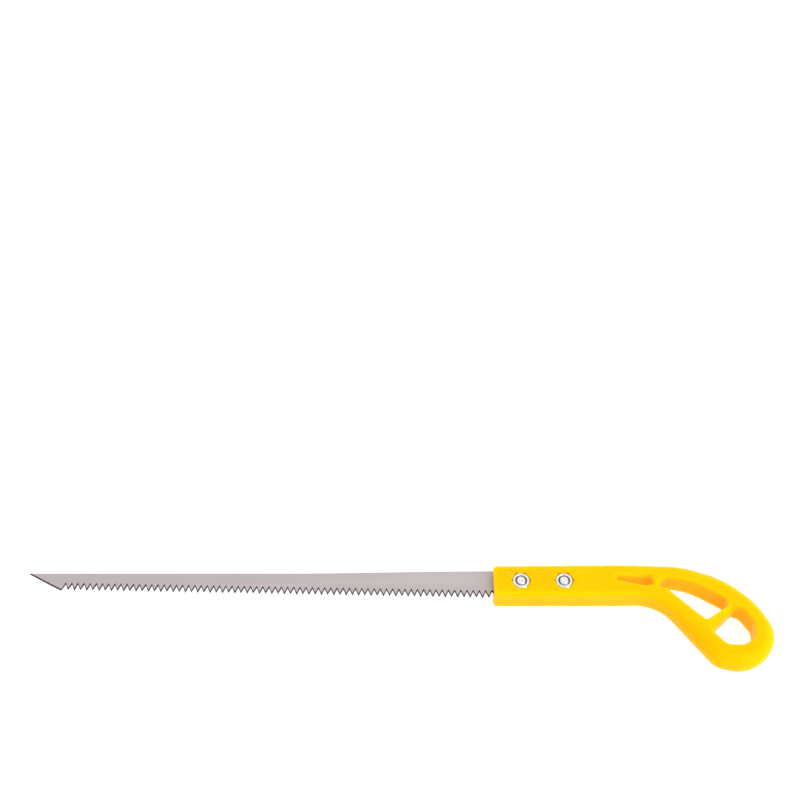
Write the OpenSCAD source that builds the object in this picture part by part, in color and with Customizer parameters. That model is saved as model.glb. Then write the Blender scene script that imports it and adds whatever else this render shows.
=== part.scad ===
// Drywall saw (jab saw) lying on its side: a moulded pistol-type handle, a
// tapered toothed blade let into a slot in the handle, and two screws with
// hexagon nuts that clamp the handle on the blade.
// X runs along the saw with the point at -X, Y is the width of the blade with
// the teeth towards -Y, and Z is the thickness with the nuts on the top face.

/* [Handle] */
// Thickness of the handle
handle_t = 16; // [14:0.5:20]
// Height of the top edge of the grip above the screw line
grip_top = 10.6; // [10:0.1:12]
// Depth of the bottom edge of the grip below the screw line
grip_bottom = 10.1; // [9:0.1:11]
// Edge rounding along the grip
grip_round = 2.5; // [1:0.25:3]
// Edge rounding around the tail
tail_round = 7; // [3:0.25:7]
// Edge rounding at the rim of the openings
rim_round = 1.2; // [0.4:0.1:1.4]

/* [Blade] */
// Length of the blade in front of the handle
blade_reach = 283.5; // [250:0.5:300]
// Thickness of the blade
blade_t = 1.2; // [0.8:0.1:1.6]
// Length of the tang inside the handle
tang_len = 62; // [55:1:68]
// Depth of the tang below the screw line
tang_low = 5.5; // [4.5:0.25:7]
// Distance from the spine to the screw line at the point
spine_point = 8.8; // [8:0.1:9.5]
// Length over which the spine drops from the handle to its level run
spine_drop = 112; // [80:1:140]
// Distance between two teeth
tooth_pitch = 3.757; // [3.5:0.001:3.9]
// Depth of the gullets
tooth_depth = 4.2; // [3:0.1:4.5]
// Number of teeth behind the point
tooth_count = 69; // [60:1:70]
// Drop of the tooth line below the screw line at the handle
tooth_heel = 7.8; // [7:0.1:8.5]
// Drop of the tooth line below the screw line at the point
tooth_point = 2.2; // [1.5:0.1:3]
// Length of the slanted edge of the point
point_len = 20.6; // [15:0.1:21]

/* [Fasteners] */
// Distance from the front of the handle to the first screw
screw_first = 16.4; // [14:0.1:20]
// Distance between the two screws
screw_gap = 26; // [22:0.5:30]
// Diameter of the screw shanks
screw_d = 6; // [5:0.1:6]
// Diameter of the screw holes
screw_hole = 6.4; // [6.2:0.1:6.6]
// Diameter of the screw heads
head_d = 10.5; // [10:0.1:11]
// Height of the screw heads
head_h = 3.6; // [3:0.1:3.9]
// Width of the nuts across their flats
nut_af = 10; // [9.5:0.1:10]
// Thickness of the nuts
nut_t = 5; // [4:0.1:5]
// Depth of the nut pockets below the top face
pocket_depth = 5.6; // [5:0.1:5.8]
// Clearance between a nut and its pocket across the flats
pocket_gap = 0.4; // [0.2:0.1:0.6]

/* [Hidden] */
$fn = 48;

// origin: middle of the saw's box, on the plane that it lies on
handle_x = 59.7;
line_y = 21.8;
mid = handle_t / 2;
blade_lo = mid - blade_t / 2;
step = 7.5;

// outline of the handle: corners as [x, y, corner radius], counter-clockwise,
// x from the front face and y from the screw line
outline = [[-12, -grip_bottom, 6], [98.5, -grip_bottom, 26], [127.5, -52.9, 13.5],
    [144.5, -56.6, 20], [158, -49.3, 22], [166.5, -35, 18], [159, -15, 48],
    [139.5, 3.6, 56], [116, grip_top + 0.9, 60], [-12, grip_top, 6]];
// short wedge-shaped opening ahead of the bend
opening_1 = [[74.2, 0.6, 1.5], [90.5, -3.6, 3], [97, -2.6, 2.4], [95.6, 4.4, 2.4], [74.2, 4, 1.6]];
// long triangular opening in the bend
opening_2 = [[101, -4.6, 1.5], [104, -4.8, 1.5], [125.2, -26.4, 1.5], [139, -17, 2],
    [138.4, -12, 3], [117.5, 1.2, 42], [101, 2.4, 4]];
// rounded opening in the tail, used to hang the saw up
opening_3 = [[126.7, -33.3, 4], [135, -42.6, 5], [145, -43, 7], [152.3, -37.5, 6],
    [153, -28, 8], [147.5, -18.9, 5], [143.2, -17.8, 2]];

function unit(v) = v / norm(v);
function angle_of(v) = atan2(v[1], v[0]);
function wrap(a) = a - 360 * floor((a + 180) / 360);

// points of one rounded corner, each as [x, y, outward x, outward y]
function corner(a, p, b, r) =
    let (u = unit([a[0] - p[0], a[1] - p[1]]), w = unit([b[0] - p[0], b[1] - p[1]]),
         half = acos(max(-1, min(1, u * w))) / 2,
         c = [p[0], p[1]] + unit(u + w) * r / sin(half),
         p1 = [p[0], p[1]] + u * r / tan(half), p2 = [p[0], p[1]] + w * r / tan(half),
         a1 = angle_of(p1 - c), da = wrap(angle_of(p2 - c) - a1),
         n = max(1, ceil(abs(da) / step)), s = da > 0 ? 1 : -1)
    [for (j = [0:n]) let (t = a1 + da * j / n)
        [c[0] + r * cos(t), c[1] + r * sin(t), s * cos(t), s * sin(t)]];

function rounded(c) = let (n = len(c))
    [for (i = [0:n - 1]) each corner(c[(i + n - 1) % n], c[i], c[(i + 1) % n], c[i][2])];

// edge rounding at a distance x from the front face
function round_at(x) = grip_round + (tail_round - grip_round) * max(0, min(1, (x - 80) / 45));

// the same outline without its directions
function flat_points(p) = [for (q = p) [q[0], q[1]]];

// ring-shaped cutter that follows the closed outline p. prof[k] is the distance
// outwards from the outline as a list over the points, and its height likewise
module ring_cutter(p, prof) {
    n = len(p);
    m = len(prof);
    polyhedron(
        points = [for (k = [0:m - 1], i = [0:n - 1])
            [p[i][0] + p[i][2] * prof[k][i][0], p[i][1] + p[i][3] * prof[k][i][0], prof[k][i][1]]],
        faces = [for (k = [0:m - 1], i = [0:n - 1]) let (j = (i + 1) % n, l = (k + 1) % m)
            each [[k * n + i, l * n + j, l * n + i], [k * n + i, k * n + j, l * n + j]]]);
}

// rounds the bottom edge all round the outline p
module round_outside(p) {
    e = 0.02;
    arc = [for (a = [0:22.5:90]) [for (q = p) let (r = round_at(q[0]))
        [-r * (1 - sin(a)) + e, r * (1 - cos(a)) - e]]];
    ring_cutter(p, concat(arc, [
        [for (q = p) [1.5, round_at(q[0])]],
        [for (q = p) [1.5, -1]],
        [for (q = p) [-round_at(q[0]), -1]]]));
}

// rounds the bottom rim of an opening with the outline p
module round_inside(p) {
    e = 0.02;
    r = rim_round;
    arc = [for (a = [90:-30:0]) [for (q = p) [r * (1 - sin(a)) - e, r * (1 - cos(a)) - e]]];
    ring_cutter(p, concat(arc, [
        [for (q = p) [r, -1]],
        [for (q = p) [-0.6, -1]],
        [for (q = p) [-0.6, r]]]));
}

// repeats a cutter on the top face
module both_faces() {
    children();
    translate([0, 0, handle_t]) mirror([0, 0, 1]) children();
}

// solid handle with rounded edges, before anything is cut out of it
module body_blank() {
    p = rounded(outline);
    difference() {
        linear_extrude(handle_t) polygon(flat_points(p));
        both_faces() round_outside(p);
    }
}

// cutter for an opening that runs right through, with a rounded rim
module opening(c) {
    p = rounded(c);
    translate([0, 0, -1]) linear_extrude(handle_t + 2) polygon(flat_points(p));
    both_faces() round_inside(p);
}

// places a piece at screw number i
module at_screw(i) translate([screw_first + screw_gap * i, 0, 0]) children();

// hexagon with the given width across its flats and corners along X
module hexagon(af, h) cylinder(d = af / cos(30), h = h, $fn = 6);

module handle() color([1, 0.83, 0.02]) translate([handle_x, line_y, 0]) difference() {
    body_blank();
    translate([-30, -40, -1]) cube([30, 80, handle_t + 2]);
    opening(opening_1);
    opening(opening_2);
    opening(opening_3);
    // slot for the tang, open at the front and along the top edge
    translate([-1, -tang_low, blade_lo]) cube([tang_len + 1, tang_low + grip_top + 5, blade_t]);
    for (i = [0, 1]) at_screw(i) {
        translate([0, 0, -1]) cylinder(d = screw_hole, h = handle_t + 2);
        translate([0, 0, -1]) cylinder(d = head_d + 0.6, h = 1 + head_h + 0.4);
        translate([0, 0, handle_t - pocket_depth]) hexagon(nut_af + pocket_gap, pocket_depth + 1);
    }
}

// outline of the blade: spine, point, teeth and tang
module blade_outline() {
    // slope of the tooth line towards the point
    x_corner = point_len - blade_reach;
    slope = (tooth_heel - tooth_point) / (3 + -x_corner);
    x_last = 3;
    tips = [for (i = [0:tooth_count - 1]) [-(x_last + tooth_pitch * i), -tooth_heel + slope * tooth_pitch * i]];
    saw = [for (i = [0:tooth_count - 1]) each [
        [tips[i][0] + tooth_pitch / 2, tips[i][1] + tooth_depth],
        [tips[i][0] + 0.1, tips[i][1]], [tips[i][0] - 0.1, tips[i][1]]]];
    first = tips[tooth_count - 1];
    polygon(concat(
        [[tang_len, -tang_low], [1.2, -tang_low]],
        saw,
        [[first[0] - tooth_pitch / 2 - 0.1, first[1] + tooth_depth],
         [x_corner + 0.5, -tooth_point - 0.1], [x_corner - 0.6, -tooth_point + 0.1],
         [x_corner - 12, -tooth_point + 5],
         [-blade_reach, spine_point - 0.4], [-blade_reach, spine_point],
         [-spine_drop, spine_point + 0.1], [0, grip_top - 0.1], [tang_len - 3, grip_top - 0.1],
         [tang_len, grip_top - 3.1]]));
}

module blade() color([0.76, 0.73, 0.74]) translate([handle_x, line_y, 0]) difference() {
    translate([0, 0, blade_lo]) linear_extrude(blade_t) blade_outline();
    for (i = [0, 1]) at_screw(i) translate([0, 0, blade_lo - 1]) cylinder(d = screw_hole, h = blade_t + 2);
}

// pan head screw with a cross recess, pushed in from the back
module screw(i) color([0.78, 0.78, 0.77]) translate([handle_x, line_y, 0]) at_screw(i) difference() {
    rotate_extrude() polygon([[0, 0.4], [3.2, 0.5], [4.6, 1.1], [head_d / 2, 2.2],
        [head_d / 2, head_h + 0.4], [screw_d / 2, head_h + 0.4],
        [screw_d / 2, handle_t - 0.7], [screw_d / 2 - 0.7, handle_t], [0, handle_t]]);
    for (a = [0, 90]) rotate([0, 0, a]) translate([-2.6, -0.6, -1]) cube([5.2, 1.2, 3.2]);
}

// hexagon nut with chamfered corners
module nut(i) color([0.84, 0.84, 0.84]) translate([handle_x, line_y, 0]) at_screw(i)
    translate([0, 0, handle_t - pocket_depth]) difference() {
        intersection() {
            hexagon(nut_af, nut_t);
            rotate_extrude() polygon([[0, 0], [5.0, 0], [5.9, 0.55], [5.9, nut_t - 0.55], [5.0, nut_t], [0, nut_t]]);
        }
        translate([0, 0, -1]) cylinder(d = screw_d, h = nut_t + 2);
        translate([0, 0, nut_t - 0.5]) cylinder(d1 = screw_d, d2 = screw_d + 1.2, h = 0.6);
    }

module screw_front() screw(0);
module screw_rear() screw(1);
module nut_front() nut(0);
module nut_rear() nut(1);

handle();
blade();
screw_front();
screw_rear();
nut_front();
nut_rear();
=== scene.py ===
import bpy, bmesh, math, random
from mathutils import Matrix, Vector


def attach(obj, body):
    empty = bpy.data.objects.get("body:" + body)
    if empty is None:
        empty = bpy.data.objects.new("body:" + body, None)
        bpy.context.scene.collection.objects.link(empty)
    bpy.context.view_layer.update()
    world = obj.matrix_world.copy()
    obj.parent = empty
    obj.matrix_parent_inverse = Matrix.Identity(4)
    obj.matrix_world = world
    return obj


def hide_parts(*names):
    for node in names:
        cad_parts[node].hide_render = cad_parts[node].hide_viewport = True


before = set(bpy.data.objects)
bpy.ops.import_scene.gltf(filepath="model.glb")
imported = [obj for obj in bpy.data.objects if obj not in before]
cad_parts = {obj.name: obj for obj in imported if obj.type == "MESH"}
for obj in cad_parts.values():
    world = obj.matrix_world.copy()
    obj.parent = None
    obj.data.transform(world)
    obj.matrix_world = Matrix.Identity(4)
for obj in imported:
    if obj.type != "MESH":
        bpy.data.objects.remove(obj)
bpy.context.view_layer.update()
random.seed(7)

HX, LY = 59.7, 21.8          # local millimetres: x from the handle's front face, y from the screw line
T = 16.0
MID = T / 2


def W(x, y, z):
    return ((x + HX) / 1000.0, (y + LY) / 1000.0, z / 1000.0)


# ---------------------------------------------------------------- helpers
def rounded(c, step=4.0):
    """Rounded polygon from corners (x, y, radius), counter-clockwise: list of (x, y, nx, ny)."""
    out = []
    n = len(c)
    for i in range(n):
        a, p, b = Vector(c[i - 1][:2]), Vector(c[i][:2]), Vector(c[(i + 1) % n][:2])
        r = c[i][2]
        u, w = (a - p).normalized(), (b - p).normalized()
        half = math.acos(max(-1, min(1, u.dot(w)))) / 2
        ctr = p + (u + w).normalized() * (r / math.sin(half))
        p1, p2 = p + u * (r / math.tan(half)), p + w * (r / math.tan(half))
        a1 = math.atan2(*(p1 - ctr).yx)
        da = (math.atan2(*(p2 - ctr).yx) - a1 + math.pi) % (2 * math.pi) - math.pi
        k = max(2, math.ceil(abs(math.degrees(da)) / step))
        s = 1 if da > 0 else -1
        for j in range(k + 1):
            t = a1 + da * j / k
            out.append((ctr.x + r * math.cos(t), ctr.y + r * math.sin(t), s * math.cos(t), s * math.sin(t)))
    return out


def make_mesh(name, verts, faces, mats, face_mats=None, sharp=35):
    me = bpy.data.meshes.new(name)
    me.from_pydata([W(*v) for v in verts], [], faces)
    me.validate()
    ob = bpy.data.objects.new(name, me)
    bpy.context.scene.collection.objects.link(ob)
    for m in mats:
        me.materials.append(m)
    if face_mats:
        for p, k in zip(me.polygons, face_mats):
            p.material_index = k
    bm = bmesh.new(); bm.from_mesh(me)
    bmesh.ops.recalc_face_normals(bm, faces=bm.faces)
    bm.to_mesh(me); bm.free()
    return ob


def smooth(ob, angle=35):
    me = ob.data
    for p in me.polygons:
        p.use_smooth = True
    me.set_sharp_from_angle(angle=math.radians(angle))
    md = ob.modifiers.new("normals", "WEIGHTED_NORMAL")
    md.mode = "FACE_AREA"
    md.weight = 90
    md.keep_sharp = True


def loft(rings, name="loft"):
    """Closed solid from rings with the same number of points. Returns an object."""
    n = len(rings[0])
    verts = [p for r in rings for p in r]
    faces = [list(range(n))[::-1], [(len(rings) - 1) * n + i for i in range(n)]]
    for k in range(len(rings) - 1):
        for i in range(n):
            j = (i + 1) % n
            faces.append([k * n + i, k * n + j, (k + 1) * n + j, (k + 1) * n + i])
    return make_mesh(name, verts, faces, [])


def cut(ob, cutters):
    for c in cutters:
        md = ob.modifiers.new("cut", "BOOLEAN")
        md.operation = "DIFFERENCE"
        md.solver = "EXACT"
        md.object = c
    bpy.context.view_layer.update()
    dg = bpy.context.evaluated_depsgraph_get()
    me = bpy.data.meshes.new_from_object(ob.evaluated_get(dg))
    ob.modifiers.clear()
    old = ob.data
    ob.data = me
    bpy.data.meshes.remove(old)
    for c in cutters:
        m = c.data
        bpy.data.objects.remove(c)
        bpy.data.meshes.remove(m)


def circle(cx, cy, r, n, phase=0.0):
    return [(cx + r * math.cos(phase + 2 * math.pi * i / n), cy + r * math.sin(phase + 2 * math.pi * i / n)) for i in range(n)]


def tube(cx, cy, prof, n=64, phase=0.0):
    """Closed round cutter from (radius, z) pairs."""
    return loft([[(x, y, z) for x, y in circle(cx, cy, r, n, phase)] for r, z in prof], "cutter")


# ---------------------------------------------------------------- materials
def new_mat(name):
    m = bpy.data.materials.new(name)
    m.use_nodes = True
    nt = m.node_tree
    b = nt.nodes["Principled BSDF"]
    return m, nt, b


def coords(nt, scale):
    tc = nt.nodes.new("ShaderNodeTexCoord")
    mp = nt.nodes.new("ShaderNodeMapping")
    mp.inputs["Scale"].default_value = scale
    nt.links.new(tc.outputs["Object"], mp.inputs["Vector"])
    return mp.outputs["Vector"]


def noise(nt, vec, scale, detail=4.0, rough=0.55, dist=0.0):
    n = nt.nodes.new("ShaderNodeTexNoise")
    n.inputs["Scale"].default_value = scale
    n.inputs["Detail"].default_value = detail
    n.inputs["Roughness"].default_value = rough
    n.inputs["Distortion"].default_value = dist
    nt.links.new(vec, n.inputs["Vector"])
    return n.outputs["Fac"]


def ramp(nt, fac, stops):
    r = nt.nodes.new("ShaderNodeValToRGB")
    e = r.color_ramp.elements
    while len(e) > 1:
        e.remove(e[0])
    e[0].position, e[0].color = stops[0][0], stops[0][1]
    for p, c in stops[1:]:
        k = e.new(p); k.color = c
    nt.links.new(fac, r.inputs["Fac"])
    return r.outputs["Color"]


def grey(v):
    return (v, v, v, 1)


def maprange(nt, fac, a, b, c, d):
    n = nt.nodes.new("ShaderNodeMapRange")
    n.inputs["From Min"].default_value = a
    n.inputs["From Max"].default_value = b
    n.inputs["To Min"].default_value = c
    n.inputs["To Max"].default_value = d
    nt.links.new(fac, n.inputs["Value"])
    return n.outputs["Result"]


def mathn(nt, op, a, b):
    n = nt.nodes.new("ShaderNodeMath"); n.operation = op
    for i, v in enumerate((a, b)):
        if isinstance(v, (int, float)):
            n.inputs[i].default_value = v
        else:
            nt.links.new(v, n.inputs[i])
    return n.outputs[0]


def mix(nt, fac, a, b, mode="MIX"):
    n = nt.nodes.new("ShaderNodeMix"); n.data_type = "RGBA"; n.blend_type = mode
    if isinstance(fac, (int, float)):
        n.inputs[0].default_value = fac
    else:
        nt.links.new(fac, n.inputs[0])
    for i, v in ((6, a), (7, b)):
        if isinstance(v, tuple):
            n.inputs[i].default_value = v
        else:
            nt.links.new(v, n.inputs[i])
    return n.outputs[2]


def bump(nt, b, height, strength, dist, normal=None):
    n = nt.nodes.new("ShaderNodeBump")
    n.inputs["Strength"].default_value = strength
    n.inputs["Distance"].default_value = dist
    nt.links.new(height, n.inputs["Height"])
    if normal is not None:
        nt.links.new(normal, n.inputs["Normal"])
    nt.links.new(n.outputs["Normal"], b.inputs["Normal"])
    return n.outputs["Normal"]


def plastic(name, k):
    m, nt, b = new_mat(name)
    v = coords(nt, (1, 1, 1))
    vx = coords(nt, (1, 7, 3))                       # streaks along the handle
    big = noise(nt, v, 28, 3, 0.5)
    flow = noise(nt, vx, 45, 5, 0.6, 0.6)
    fine = noise(nt, v, 900, 3, 0.6)
    base = ramp(nt, big, [(0.3, (0.97, 0.400 * k, 0.001, 1)), (0.7, (0.98, 0.430 * k, 0.0015, 1))])
    base = mix(nt, maprange(nt, flow, 0.45, 0.75, 0.0, 0.16), base, (0.98, 0.450 * k, 0.002, 1))
    specks = ramp(nt, noise(nt, v, 420, 2, 0.5), [(0.0, grey(0)), (0.72, grey(0)), (0.78, grey(1))])
    base = mix(nt, mathn(nt, "MULTIPLY", specks, 0.10), base, (0.90, 0.31 * k, 0.001, 1))
    nt.links.new(base, b.inputs["Base Color"])
    surface_marks = ramp(nt, noise(nt, coords(nt, (1, 9, 9)), 160, 6, 0.7, 1.2), [(0.0, grey(0)), (0.60, grey(0)), (0.74, grey(1))])
    rough = maprange(nt, flow, 0.3, 0.7, 0.27, 0.36)
    rough = mathn(nt, "ADD", rough, mathn(nt, "MULTIPLY", surface_marks, 0.12))
    nt.links.new(rough, b.inputs["Roughness"])
    b.inputs["IOR"].default_value = 1.3
    b.inputs["Specular IOR Level"].default_value = 0.14
    b.inputs["Specular Tint"].default_value = (1.0, 0.75, 0.08, 1)
    b.inputs["Subsurface Weight"].default_value = 1.0
    b.inputs["Subsurface Radius"].default_value = (0.010, 0.008, 0.0005)
    b.inputs["Subsurface Scale"].default_value = 1.0
    h = mathn(nt, "ADD", mathn(nt, "MULTIPLY", fine, 0.35), mathn(nt, "MULTIPLY", flow, 1.0))
    n1 = bump(nt, b, h, 0.10, 0.0006)
    bump(nt, b, surface_marks, 0.06, 0.0002, n1)
    return m


def steel():
    m, nt, b = new_mat("satin_steel")
    vx = coords(nt, (1, 55, 55))
    v = coords(nt, (1, 1, 1))
    brush = noise(nt, vx, 90, 6, 0.65)
    cloud = noise(nt, v, 30, 4, 0.6, 0.4)
    base = ramp(nt, cloud, [(0.25, (0.40, 0.357, 0.362, 1)), (0.55, (0.425, 0.382, 0.387, 1)), (0.8, (0.44, 0.40, 0.405, 1))])
    base = mix(nt, maprange(nt, brush, 0.35, 0.7, 0.0, 0.35), base, (0.46, 0.42, 0.425, 1))
    nt.links.new(base, b.inputs["Base Color"])
    b.inputs["Metallic"].default_value = 1.0
    rough = mathn(nt, "ADD", maprange(nt, brush, 0.3, 0.7, 0.46, 0.60), maprange(nt, cloud, 0.3, 0.7, -0.03, 0.05))
    nt.links.new(rough, b.inputs["Roughness"])
    b.inputs["Anisotropic"].default_value = 0.3
    bump(nt, b, brush, 0.10, 0.0002)
    return m


def edge_shade_mat():
    """Cut edges of the blade and strips along the tooth edges: painted near-black as painted shade, a little brown,
    with grinding marks across.
    """
    m, nt, b = new_mat("edge_painted_shade")
    v = coords(nt, (60, 60, 4))
    g = noise(nt, v, 60, 4, 0.6)
    base = ramp(nt, g, [(0.3, (0.012, 0.008, 0.007, 1)), (0.7, (0.035, 0.024, 0.022, 1))])
    nt.links.new(base, b.inputs["Base Color"])
    b.inputs["Metallic"].default_value = 0.3
    b.inputs["Specular IOR Level"].default_value = 0.25
    nt.links.new(maprange(nt, g, 0.3, 0.7, 0.38, 0.6), b.inputs["Roughness"])
    bump(nt, b, g, 0.15, 0.0001)
    return m


def zinc(name, k):
    m, nt, b = new_mat(name)
    v = coords(nt, (1, 1, 1))
    c = noise(nt, v, 260, 4, 0.6, 0.3)
    f = noise(nt, v, 1600, 3, 0.6)
    base = ramp(nt, c, [(0.3, (0.56 * k, 0.57 * k, 0.59 * k, 1)), (0.6, (0.66 * k, 0.66 * k, 0.65 * k, 1)), (0.8, (0.61 * k, 0.60 * k, 0.63 * k, 1))])
    nt.links.new(base, b.inputs["Base Color"])
    b.inputs["Metallic"].default_value = 1.0
    nt.links.new(mathn(nt, "ADD", maprange(nt, c, 0.3, 0.7, 0.16, 0.28), maprange(nt, f, 0.4, 0.7, 0.0, 0.06)), b.inputs["Roughness"])
    bump(nt, b, f, 0.10, 0.0001)
    return m


def floor_mat():
    m, nt, b = new_mat("floor")
    v = coords(nt, (1, 1, 1))
    c = noise(nt, v, 3, 3, 0.5)
    nt.links.new(ramp(nt, c, [(0.3, grey(0.35)), (0.7, grey(0.37))]), b.inputs["Base Color"])
    b.inputs["Roughness"].default_value = 0.9
    b.inputs["Specular IOR Level"].default_value = 0.1
    b.inputs["Emission Color"].default_value = (1, 1, 1, 1)
    b.inputs["Emission Strength"].default_value = 0.76
    return m


def surface_marks():
    """Pale plastic for small marks on the top face: painted highlight."""
    m, nt, b = new_mat("plastic_painted_highlight_mark")
    n = noise(nt, coords(nt, (1, 1, 1)), 700, 4, 0.7)
    base = ramp(nt, n, [(0.35, (0.97, 0.44, 0.003, 1)), (0.65, (0.97, 0.52, 0.05, 1))])
    nt.links.new(base, b.inputs["Base Color"])
    b.inputs["Roughness"].default_value = 0.55
    b.inputs["Specular IOR Level"].default_value = 0.2
    b.inputs["Subsurface Weight"].default_value = 0.3
    b.inputs["Subsurface Radius"].default_value = (0.004, 0.003, 0.001)
    return m


PLASTIC, STEEL, EDGE_SHADE, PAINTED_HIGHLIGHT_MARK = plastic("yellow_plastic", 1.0), steel(), edge_shade_mat(), surface_marks()
# lighter copies of the plastic for the walls of the openings: painted light that brightens these shaded walls
PAINTED_LIGHT_WALL, PAINTED_LIGHT_SMALL_WALL = plastic("yellow_plastic_wall_painted_light", 1.12), plastic("yellow_plastic_small_wall_painted_light", 1.40)
# the thread copy of the zinc is painted darker: painted shade in the thread grooves
ZINC, THREAD_SHADE, CHAMFER_SHADE = zinc("zinc_plate", 1.0), zinc("zinc_thread_painted_shade", 0.38), zinc("zinc_chamfer_painted_shade", 0.55)

# ---------------------------------------------------------------- handle
GT, GB = 10.6, 10.1
OUT = [(0, -GB, 2.5), (98.5, -GB, 26), (127.5, -52.9, 13.5), (144.5, -56.6, 20), (158, -49.3, 22),
       (166.5, -35, 18), (159, -15, 48), (139.5, 3.6, 56), (116, GT + 0.9, 60), (0, GT, 2.5)]
# openings: corners, rim radius, extra rim radius on the side that faces a direction
OPEN = [([(74.2, 0.6, 1.5), (90.5, -3.6, 3), (97, -2.6, 2.4), (95.6, 4.4, 2.4), (74.2, 4, 1.6)], 1.1, 1.2, (-1, 0)),
        ([(101, -4.6, 1.5), (104, -4.8, 1.5), (125.2, -26.4, 1.5), (139, -17, 2), (138.4, -12, 3), (117.5, 1.2, 42), (101, 2.4, 4)], 1.3, 2.4, (-1, 0.1)),
        ([(126.7, -33.3, 4), (135, -42.6, 5), (145, -43, 7), (152.3, -37.5, 6), (153, -28, 8), (147.5, -18.9, 5), (143.2, -17.8, 2)], 1.3, 3.7, (-0.68, 0.73))]
SCREWS = (16.4, 42.4)


def round_at(x):
    t = max(0.0, min(1.0, (x - 80) / 45))
    return 2.5 + 4.5 * t


def handle():
    pts = []
    base = rounded(OUT, 3.0)
    for i, q in enumerate(base):                     # extra points along the straight runs
        pts.append(q)
        nq = base[(i + 1) % len(base)]
        L = math.hypot(nq[0] - q[0], nq[1] - q[1])
        k = int(L // 6)
        for j in range(1, k + 1):
            f = j / (k + 1)
            pts.append((q[0] + (nq[0] - q[0]) * f, q[1] + (nq[1] - q[1]) * f, q[2], q[3]))
    rings = []

    def ring(a, top):
        out = []
        for x, y, nx, ny in pts:
            r = round_at(x)
            front = nx < -0.02 and x < 2.5
            rx = 0.8 if front else r
            ins_x, ins_y = (1 - math.sin(a)) * rx, (1 - math.sin(a)) * r
            z = r * (1 - math.cos(a))
            if front:                                # the end face has a small edge radius only
                w = min(1.0, abs(nx))
                z = (r * (1 - w) + 0.8 * w) * (1 - math.cos(a)) if a > 0 else 0.0
            out.append((x - nx * ins_x, y - ny * ins_y, T - z if top else z))
        return out

    n = 9
    rings += [ring(math.radians(90 * k / n), False) for k in range(n + 1)]
    for dz, o in ((-0.22, 0.0), (-0.08, 0.07), (0.08, 0.07), (0.22, 0.0)):   # parting line at mid thickness
        rings.append([(x + nx * o, y + ny * o, MID + dz) for x, y, nx, ny in pts])
    rings += [ring(math.radians(90 * k / n), True) for k in range(n, -1, -1)]
    ob = loft(rings, "handle_body")
    cutters = []
    for c, rim, extra, side in OPEN:
        p = rounded(c, 5.0)
        R = [rim + extra * max(0.0, nx * side[0] + ny * side[1]) ** 2 for _, _, nx, ny in p]
        low = [[(x + nx * (r + 0.4), y + ny * (r + 0.4), -0.6) for (x, y, nx, ny), r in zip(p, R)]]
        m = 8
        for k in range(m + 1):
            a = math.radians(90 * k / m)
            low.append([(x + nx * r * (1 - math.sin(a)), y + ny * r * (1 - math.sin(a)), r * (1 - math.cos(a)))
                        for (x, y, nx, ny), r in zip(p, R)])
        high = [[(x, y, T - z) for x, y, z in q] for q in reversed(low)]
        cutters.append(loft(low + high, "cutter"))
    # slot for the tang
    lo, hi = MID - 0.62, MID + 0.62
    box = [(-1, -5.5), (62.2, -5.5), (62.2, 14), (-1, 14)]
    cutters.append(loft([[(x, y, z) for x, y in box] for z in (lo, hi)], "cutter"))
    for sx in SCREWS:
        cutters.append(tube(sx, 0, [(3.2, 1.0), (3.2, T - 1.0)]))
        cutters.append(tube(sx, 0, [(6.2, -0.4), (5.9, 0.0), (5.68, 0.12), (5.55, 0.35), (5.55, 4.0)], 96))
        R = 10.4 / 2 / math.cos(math.radians(30))
        hexa = [(R, T - 5.6), (R, T - 0.32), (R + 0.10, T - 0.10), (R + 0.34, T), (R + 0.9, T + 0.5)]
        ringsh = []
        for (r, z) in hexa:
            hx = rounded([(sx + r * math.cos(math.radians(60 * i)), r * math.sin(math.radians(60 * i)), 0.5) for i in range(6)], 15)
            ringsh.append([(x, y, z) for x, y, _, _ in hx])
        cutters.append(loft(ringsh, "cutter"))
    # shallow moulding marks on the back: four ejector pins and a gate
    for (x, y, r) in ((57, 0, 2.5), (90, 7.2, 1.6), (112, -17.5, 2.5), (150.5, -46, 2.5), (6.2, 0.4, 2.0)):
        cutters.append(tube(x, y, [(r + 0.1, -0.4), (r, 0.0), (r - 0.1, 0.10)], 40))
    cut(ob, cutters)
    ob.data.materials.clear()
    for m in (PLASTIC, PAINTED_LIGHT_WALL, PAINTED_LIGHT_SMALL_WALL):
        ob.data.materials.append(m)

    def off(x, y, loop):
        """Distance from a point to a closed outline."""
        best = 99.0
        for i in range(len(loop)):
            a, b = Vector(loop[i - 1][:2]), Vector(loop[i][:2])
            t = max(0.0, min(1.0, (Vector((x, y)) - a).dot(b - a) / max((b - a).length_squared, 1e-9)))
            best = min(best, (a + (b - a) * t - Vector((x, y))).length)
        return best

    walls = [rounded(c, 8) for c, _, _, _ in OPEN]
    # walls inside the openings take the lighter copies, painted light; the small front pocket takes the lightest
    for p in ob.data.polygons:
        p.material_index = 0
        if abs(p.normal.z) < 0.3:
            x, y = p.center.x * 1000 - HX, p.center.y * 1000 - LY
            for i, w in enumerate(walls):
                if 70 < x and off(x, y, w) < 0.35:
                    p.material_index = 2 if i == 0 else 1
    smooth(ob, 32)
    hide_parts("handle")
    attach(ob, "root")
    # gate vestige on the back
    g = loft([[(x, y, z) for x, y in circle(66, -3, r, 24)] for r, z in ((1.25, 0.02), (1.2, 0.14), (1.0, 0.25))], "gate_mark")
    g.data.materials.append(PLASTIC)
    smooth(g, 40)
    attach(g, "root")
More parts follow.
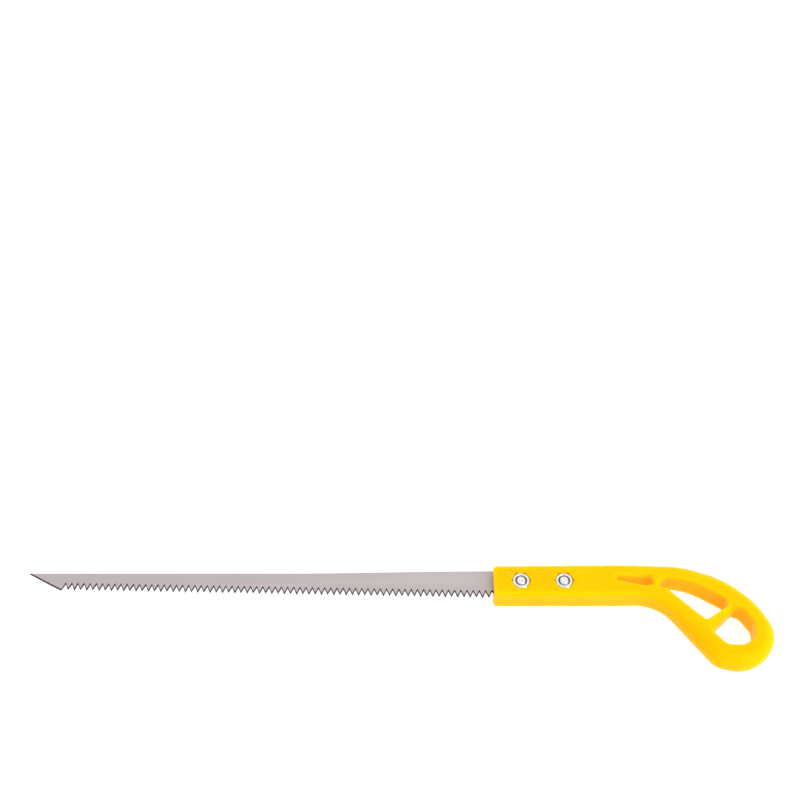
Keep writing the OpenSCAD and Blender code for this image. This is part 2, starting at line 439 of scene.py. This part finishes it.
    # faint pale marks on the top face around the front nut: painted highlights
    marks = ([(6.0, 5.9), (9.6, 6.2), (9.5, 5.5), (6.2, 5.3)], [(8.7, 5.6), (9.5, 5.5), (9.0, 1.9), (8.3, 2.4)],
             [(27.4, 6.1), (31.0, 6.2), (31.6, 5.7), (27.6, 5.5)])
    for i, q in enumerate(marks):
        cx, cy = sum(x for x, _ in q) / 4, sum(y for _, y in q) / 4
        top = [(cx + (x - cx) * 0.8, cy + (y - cy) * 0.8, T + 0.02) for x, y in q]
        k = loft([[(x, y, T - 0.03) for x, y in q], top], "painted_highlight_mark_%d" % i)
        k.data.materials.append(PAINTED_HIGHLIGHT_MARK)
        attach(k, "root")
    return ob


handle()


# ---------------------------------------------------------------- blade
def blade():
    z0, z1 = MID - 0.6, MID + 0.6
    pitch, depth, count = 3.757, 4.2, 69
    reach, plen, heel, tip = 283.5, 20.6, 7.8, 2.2
    xc = plen - reach
    slope = (heel - tip) / (3 - xc)
    tips = [(-(3 + pitch * i), -heel + slope * pitch * i) for i in range(count)]
    rnd = random.Random(3)
    verts, faces, fm = [], [], []

    def v(x, y, z):
        verts.append((x, y, z)); return len(verts) - 1

    # root line: one gullet point on each side of every tooth
    gul = [(tips[0][0] + pitch / 2, tips[0][1] + depth)] + [(t[0] - pitch / 2, t[1] + depth) for t in tips]
    G1 = [v(x, y, z1) for x, y in gul]
    G0 = [v(x, y, z0) for x, y in gul]
    rim = 1.0                                        # dark strip along the cut edges of the teeth: painted shade outlining them
    U1 = [v(x, y + rim, z1) for x, y in gul]
    U0 = [v(x, y + rim, z0) for x, y in gul]
    setw, grind = 0.16, 0.42
    for i, (tx, ty) in enumerate(tips):
        s = 1 if i % 2 == 0 else -1
        j = rnd.uniform(-0.05, 0.05)
        ty += rnd.uniform(-0.05, 0.05)
        off = s * (setw + rnd.uniform(-0.03, 0.03))
        hw = 0.07
        # the tooth leans to one side and is ground thinner on the other
        zt1 = z1 + off - (grind if s < 0 else 0.05)
        zt0 = z0 + off + (grind if s > 0 else 0.05)
        a1, b1 = v(tx + hw + j, ty, zt1), v(tx - hw + j, ty, zt1)
        a0, b0 = v(tx + hw + j, ty, zt0), v(tx - hw + j, ty, zt0)
        f = 1 - 1.15 / depth
        p1, p0 = v(tx + j, ty + 1.15, z1 + (zt1 - z1) * f), v(tx + j, ty + 1.15, z0 + (zt0 - z0) * f)
        faces += [[U1[i], U1[i + 1], p1], [U0[i + 1], U0[i], p0]]; fm += [0, 0]
        # the strips along both flanks and the tip use material 1, painted shade outlining each tooth
        for g, u, p, a, b in ((G1, U1, p1, a1, b1), (G0, U0, p0, a0, b0)):
            faces += [[g[i], u[i], p, a], [p, u[i + 1], g[i + 1], b], [a, p, b]]; fm += [1, 1, 1]
        faces += [[G1[i], a1, a0, G0[i]], [b1, G1[i + 1], G0[i + 1], b0], [a1, b1, b0, a0]]; fm += [1, 1, 1]
    # body above the root line, as strips so that its faces stay flat
    pt = [(xc + 0.5, -tip - 0.1), (xc - 0.1, -tip - 0.16), (xc - 0.7, -tip + 0.06), (xc - 6, -tip + 2.8),
          (xc - 12, -tip + 6.05), (-reach + 3.4, 6.8), (-reach + 0.25, 8.55), (-reach, 8.75)]
    inn = [(x + 0.30, y + 0.56) for x, y in pt[:6]] + [(-reach + 1.6, 8.45)] * 2
    top = [(-reach + 0.3, 8.85), (-200, 8.86), (-112, 8.9), (-95, 9.1), (-70, 9.58), (-35, 10.2), (0, 10.5), (59, 10.5), (62, 7.5)]
    low = [(62, -5.5), (1.2, -5.5)]
    c = 0.14
    loop = gul + pt + top + low
    n = len(loop)
    L1, L0 = list(G1), list(G0)
    for k, (x, y) in enumerate(pt + top + low):
        ch = c if (x, y) in top[:7] else 0.0
        L1.append(v(x, y, z1 - ch)); L0.append(v(x, y, z0 + ch))
    q1 = [v(x, y, z1) for x, y in inn[:7]]; q0 = [v(x, y, z0) for x, y in inn[:7]]
    # chamfered spine: inner line
    I1, I0 = {}, {}
    for k, (x, y) in enumerate(top[:7]):
        kk = len(gul) + len(pt) + k
        I1[kk] = v(x, y - c, z1); I0[kk] = v(x, y - c, z0)
    m = len(gul)
    t = m + len(pt)
    f1 = U1 + q1 + [I1.get(k, L1[k]) for k in range(t, n)]
    f0 = U0 + q0 + [I0.get(k, L0[k]) for k in range(t, n)]
    for g, u, q, c1, ii in ((G1, U1, L1, q1, I1), (G0, U0, L0, q0, I0)):   # the dark strip of painted shade along the point and its ends
        faces += [[u[m - 1], q[m], g[m - 1]], [u[m - 1], c1[0], q[m]], [q[n - 1], u[0], g[0]],
                  [c1[6], q[t - 1], q[t - 2]], [c1[6], ii[t], q[t - 1]]]
        faces += [[q[m + k], q[m + k + 1], c1[k + 1], c1[k]] for k in range(6)]
        fm += [1] * 11
    faces += [f1, f0[::-1]]; fm += [0, 0]
    # outer edge faces use material 1, painted shade, except along the spine
    for k in range(len(gul) - 1, n):
        j = (k + 1) % n
        spine = k in I1 or j in I1
        faces.append([L1[k], L1[j], L0[j], L0[k]]); fm.append(0 if spine else 1)
        if k in I1 and j in I1:
            faces.append([I1[k], I1[j], L1[j], L1[k]]); fm.append(0)
            faces.append([I0[j], I0[k], L0[k], L0[j]]); fm.append(0)
        elif j in I1:
            faces.append([L1[k], I1[j], L1[j]]); fm.append(0)
            faces.append([L0[k], L0[j], I0[j]]); fm.append(0)
        elif k in I1:
            faces.append([I1[k], L1[j], L1[k]]); fm.append(0)
            faces.append([I0[k], L0[k], L0[j]]); fm.append(0)
    ob = make_mesh("blade_body", verts, faces, [STEEL, EDGE_SHADE], fm)
    # holes for the screws
    cut(ob, [tube(sx, 0, [(3.2, z0 - 1), (3.2, z1 + 1)], 48) for sx in SCREWS])
    while len(ob.data.materials) < 2:
        ob.data.materials.append(EDGE_SHADE)
    smooth(ob, 12)
    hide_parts("blade")
    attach(ob, "root")
    return ob


blade()


# ---------------------------------------------------------------- fasteners
def thread_r(z, th, z_top, minor, major, ch=0.75):
    """Radius of a 1 mm pitch thread, run out at its chamfered end."""
    u = (z - th / (2 * math.pi)) % 1.0
    k = abs(u - 0.5) * 2                             # 1 at the crest
    k = max(0.0, min(1.0, (k - 0.12) / 0.76))
    r = minor + (major - minor) * k
    lim = major - max(0.0, z - (z_top - ch))
    return min(r, lim)


def screw(i, name):
    sx = SCREWS[i]
    n = 72
    prof = []
    # domed head with a cross recess, then the shank
    head = [(0.001, 0.45), (1.4, 0.47), (2.8, 0.6), (3.9, 0.95), (4.7, 1.5), (5.12, 2.2), (5.25, 2.7), (5.25, 3.75), (5.1, 4.0), (3.25, 4.0), (3.0, 4.25)]
    rings = [[(sx + r * math.cos(2 * math.pi * k / n), r * math.sin(2 * math.pi * k / n), z) for k in range(n)] for r, z in head]
    ztop = 16.0
    z = 4.5
    while z < 9.5:
        rings.append([(sx + 2.95 * math.cos(2 * math.pi * k / n), 2.95 * math.sin(2 * math.pi * k / n), z) for k in range(n)])
        z += 2.4
    z = 9.6
    while z <= ztop - 0.04:
        ring = []
        for k in range(n):
            th = 2 * math.pi * k / n
            r = thread_r(z, th, ztop, 2.42, 2.96)
            ring.append((sx + r * math.cos(th), r * math.sin(th), z))
        rings.append(ring)
        z += 0.1
    rings.append([(sx + 2.2 * math.cos(2 * math.pi * k / n), 2.2 * math.sin(2 * math.pi * k / n), ztop) for k in range(n)])
    rings.append([(sx + 1.0 * math.cos(2 * math.pi * k / n), 1.0 * math.sin(2 * math.pi * k / n), ztop - 0.02) for k in range(n)])
    ob = loft(rings, name + "_body")
    # cross recess: tapered cross
    cr = []
    for a in (0, 90):
        rr = []
        for w, h, z in ((0.75, 3.0, 0.0), (0.62, 2.5, 0.6), (0.45, 1.6, 2.2)):
            pts = [(-h, -w), (h, -w), (h, w), (-h, w)]
            ca, sa = math.cos(math.radians(a + 20)), math.sin(math.radians(a + 20))
            rr.append([(sx + x * ca - y * sa, x * sa + y * ca, z) for x, y in pts])
        cr.append(loft(rr, "cutter"))
    cut(ob, cr)
    ob.data.materials.clear(); ob.data.materials.append(ZINC); ob.data.materials.append(THREAD_SHADE)
    for p in ob.data.polygons:                       # the chamfer and the thread are painted darker than the end: painted shade in the thread groove
        r = math.hypot(p.center.x - (sx + HX) / 1000, p.center.y - LY / 1000) * 1000
        p.material_index = 1 if p.center.z > 0.0095 and r > 2.6 else 0
    smooth(ob, 40)
    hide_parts(name)
    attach(ob, "root")


def nut(i, name):
    sx = SCREWS[i]
    z0, z1 = 10.4, 15.4
    n = 144
    AF = 10.0

    def hexr(th):
        t = (th % (math.pi / 3)) - math.pi / 6       # corners on the X axis
        return AF / 2 / math.cos(t)

    def outer(z):
        # the 30 degree chamfer takes the corners off at both ends
        d = min(z - z0, z1 - z)
        lim = 4.85 + d / math.tan(math.radians(30))
        return [min(hexr(2 * math.pi * k / n), lim) for k in range(n)]

    zs = [z0 + d for d in (0.0, 0.1, 0.2, 0.3, 0.4, 0.5, 0.6, 0.75)]
    zs = zs + [z0 + 2.5] + [z1 - d for d in (0.75, 0.6, 0.5, 0.4, 0.3, 0.2, 0.1, 0.0)]
    rings = []
    for z in zs:
        rings.append([(sx + r * math.cos(2 * math.pi * k / n), r * math.sin(2 * math.pi * k / n), z) for k, r in enumerate(outer(z))])
    # inside: countersink, thread, countersink; the loop closes on the first ring
    inner = [(3.6, z1), (3.35, z1 - 0.25)]
    for r, z in inner:
        rings.append([(sx + r * math.cos(2 * math.pi * k / n), r * math.sin(2 * math.pi * k / n), z) for k in range(n)])
    z = z1 - 0.5
    while z > z0 + 0.5:
        ring = []
        for k in range(n):
            th = 2 * math.pi * k / n
            r = thread_r(z, th, 99, 2.42, 2.96) + 0.10
            r = max(r, 3.35 - (z1 - 0.25 - z) * 1.2)
            ring.append((sx + r * math.cos(th), r * math.sin(th), z))
        rings.append(ring)
        z -= 0.1
    for r, z in ((3.35, z0 + 0.25), (3.5, z0)):
        rings.append([(sx + r * math.cos(2 * math.pi * k / n), r * math.sin(2 * math.pi * k / n), z) for k in range(n)])
    verts = [p for r in rings for p in r]
    faces = []
    R = len(rings)
    for a in range(R):
        b = (a + 1) % R
        for k in range(n):
            j = (k + 1) % n
            faces.append([a * n + k, a * n + j, b * n + j, b * n + k])
    ob = make_mesh(name + "_body", verts, faces, [ZINC, THREAD_SHADE, CHAMFER_SHADE])
    # inside thread: painted shade; upward chamfer faces: painted darker, painted shade on the chamfer
    for p in ob.data.polygons:
        r = math.hypot(p.center.x - (sx + HX) / 1000, p.center.y - LY / 1000) * 1000
        p.material_index = 1 if r < 3.5 and 0.0106 < p.center.z < 0.0153 else 2 if r > 4.9 and p.normal.z > 0.3 else 0
    smooth(ob, 28)
    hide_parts(name)
    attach(ob, "root")


screw(0, "screw_front")
screw(1, "screw_rear")
nut(0, "nut_front")
nut(1, "nut_rear")

# ---------------------------------------------------------------- stage
fl = bpy.data.meshes.new("floor")
S = 6.0
fl.from_pydata([(-S, -S, -0.0002), (S, -S, -0.0002), (S, S, -0.0002), (-S, S, -0.0002)], [], [(0, 1, 2, 3)])
floor = bpy.data.objects.new("floor", fl)
bpy.context.scene.collection.objects.link(floor)
fl.materials.append(floor_mat())

WORLD_LOW, WORLD_HIGH = 0.95, 1.45
bpy.context.scene.view_settings.view_transform = "Standard"
bpy.context.scene.view_settings.look = "None"
world = bpy.data.worlds.new("studio")
bpy.context.scene.world = world
world.use_nodes = True
nt = world.node_tree
bg = nt.nodes["Background"]
# soft white tent, brighter overhead and behind to the right
wc = nt.nodes.new("ShaderNodeTexCoord")
dp = nt.nodes.new("ShaderNodeVectorMath"); dp.operation = "DOT_PRODUCT"
nt.links.new(wc.outputs["Generated"], dp.inputs[0])
dp.inputs[1].default_value = Vector((0.3, -0.02, 0.95)).normalized()
wr = nt.nodes.new("ShaderNodeMapRange")
wr.inputs["From Min"].default_value = -0.4
wr.inputs["From Max"].default_value = 1.0
wr.inputs["To Min"].default_value = WORLD_LOW
wr.inputs["To Max"].default_value = WORLD_HIGH
nt.links.new(dp.outputs["Value"], wr.inputs["Value"])
nt.links.new(wr.outputs["Result"], bg.inputs["Strength"])
bg.inputs["Color"].default_value = (1.0, 1.0, 1.0, 1)


def area(name, loc, target, size, power, color=(1, 1, 1)):
    li = bpy.data.lights.new(name, "AREA")
    li.shape = "RECTANGLE"
    li.size, li.size_y = size
    li.energy = power
    li.color = color
    ob = bpy.data.objects.new(name, li)
    ob.location = loc
    d = Vector(target) - Vector(loc)
    ob.rotation_mode = "QUATERNION"
    ob.rotation_quaternion = d.to_track_quat("-Z", "Y")
    bpy.context.scene.collection.objects.link(ob)
    return ob


area("key", (0.95, -0.60, 1.35), (0, 0, 0), (0.6, 0.6), 10)
area("glint", (0.95, -0.78, 0.62), (0.2, -0.03, 0.01), (0.10, 0.10), 3.0)

cam_d = bpy.data.cameras.new("camera")
cam_d.sensor_width = 36
cam_d.lens = 59.6
cam = bpy.data.objects.new("camera", cam_d)
cam.location = (0.0029, -0.3873, 0.7114)
cam.rotation_euler = (math.radians(38.2), 0, 0)
cam_d.clip_start, cam_d.clip_end = 0.01, 50
bpy.context.scene.collection.objects.link(cam)
bpy.context.scene.camera = cam
